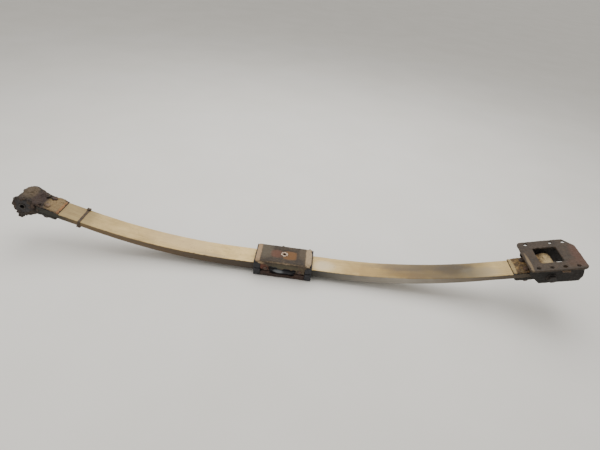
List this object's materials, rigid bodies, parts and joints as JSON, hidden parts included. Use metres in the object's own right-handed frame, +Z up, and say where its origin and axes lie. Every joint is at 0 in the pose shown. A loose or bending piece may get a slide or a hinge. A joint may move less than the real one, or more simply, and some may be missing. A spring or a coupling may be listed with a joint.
{
  "type": "leaf spring",
  "caption": "Single tapered glass-fibre leaf spring with a rubber-lined centre clamp, bolted steel eyes, rubber bushes and a flanged front hanger.",
  "frame": {"origin": "middle of the centre clamp's lower seat, at the mouth of its locating bore", "axes": "+X along the leaf towards the front hanger, +Y across the leaf, +Z up"},
  "size_m": [1.7151, 0.142, 0.2153],
  "materials": {
    "glass_fibre": "ground glass-fibre composite, beige, dusty and stained",
    "rubber": "aged black rubber",
    "worn_steel": "steel rubbed bright",
    "sleeve_steel": "steel tube, dull and rusting",
    "fastener_steel": "rusted steel fastener",
    "hanger_steel": "pressed steel, rusted through its black paint",
    "clamp_steel": "pressed steel, rusted brown with orange patches",
    "clip_steel": "rusted steel strap",
    "fitting_steel": "forged steel, heavily rusted"
  },
  "bodies": {
    "centre": {"leaf": "glass_fibre", "clamp_top_shell": "clamp_steel", "clamp_bottom_shell": "clamp_steel", "clamp_top_pad": "rubber", "clamp_bottom_pad": "rubber", "clamp_rivets": "fastener_steel", "top_locating_sleeve": "worn_steel", "bottom_locating_sleeve": "worn_steel"},
    "rear_arm": {"rear_eye_fitting": "fitting_steel", "rear_tongue_pad": "rubber", "rear_lower_plate": "fitting_steel", "rear_fitting_bolts": "fastener_steel", "rear_fitting_washers": "fastener_steel", "rear_fitting_nuts": "fastener_steel", "rear_bush_outer_sleeve": "sleeve_steel", "rear_bush_rubber": "rubber", "band_clip": "clip_steel", "band_clip_seals": "clip_steel"},
    "front_arm": {"front_eye_fitting": "fitting_steel", "front_tongue_pad": "rubber", "front_lower_plate": "fitting_steel", "front_fitting_bolts": "fastener_steel", "front_fitting_washers": "fastener_steel", "front_fitting_nuts": "fastener_steel", "front_bush_outer_sleeve": "sleeve_steel", "front_bush_rubber": "rubber"},
    "rear_sleeve": {"rear_bush_inner_sleeve": "sleeve_steel"},
    "hanger": {"front_bush_inner_sleeve": "sleeve_steel", "hanger_plate": "hanger_steel", "hanger_channel": "hanger_steel", "hanger_weld_nut": "fastener_steel", "hanger_pivot_bolt": "fastener_steel", "hanger_pivot_washers": "fastener_steel", "hanger_pivot_nut": "fastener_steel"}
  },
  "joints": [
    {"name": "rear_arm_flex", "type": "hinge", "parent": "centre", "child": "rear_arm", "pos_m": [-0.265, 0, 0.03191], "axis": [0, -1, 0], "range_deg": [-2, 9.5], "stiffness_Nm_per_rad": 5800, "deforming": ["leaf"]},
    {"name": "front_arm_flex", "type": "hinge", "parent": "centre", "child": "front_arm", "pos_m": [0.265, 0, 0.03191], "axis": [0, 1, 0], "range_deg": [-2, 9.5], "stiffness_Nm_per_rad": 5800, "deforming": ["leaf"]},
    {"name": "rear_bush_twist", "type": "hinge", "parent": "rear_arm", "child": "rear_sleeve", "pos_m": [-0.80017, 0, 0.1442], "axis": [0, 1, 0], "range_deg": [-20, 20], "stiffness_Nm_per_rad": 60},
    {"name": "hanger_pivot", "type": "hinge", "parent": "front_arm", "child": "hanger", "pos_m": [0.80017, 0, 0.1442], "axis": [0, 1, 0], "range_deg": [-15, 25], "stiffness_Nm_per_rad": 120}
  ]
}
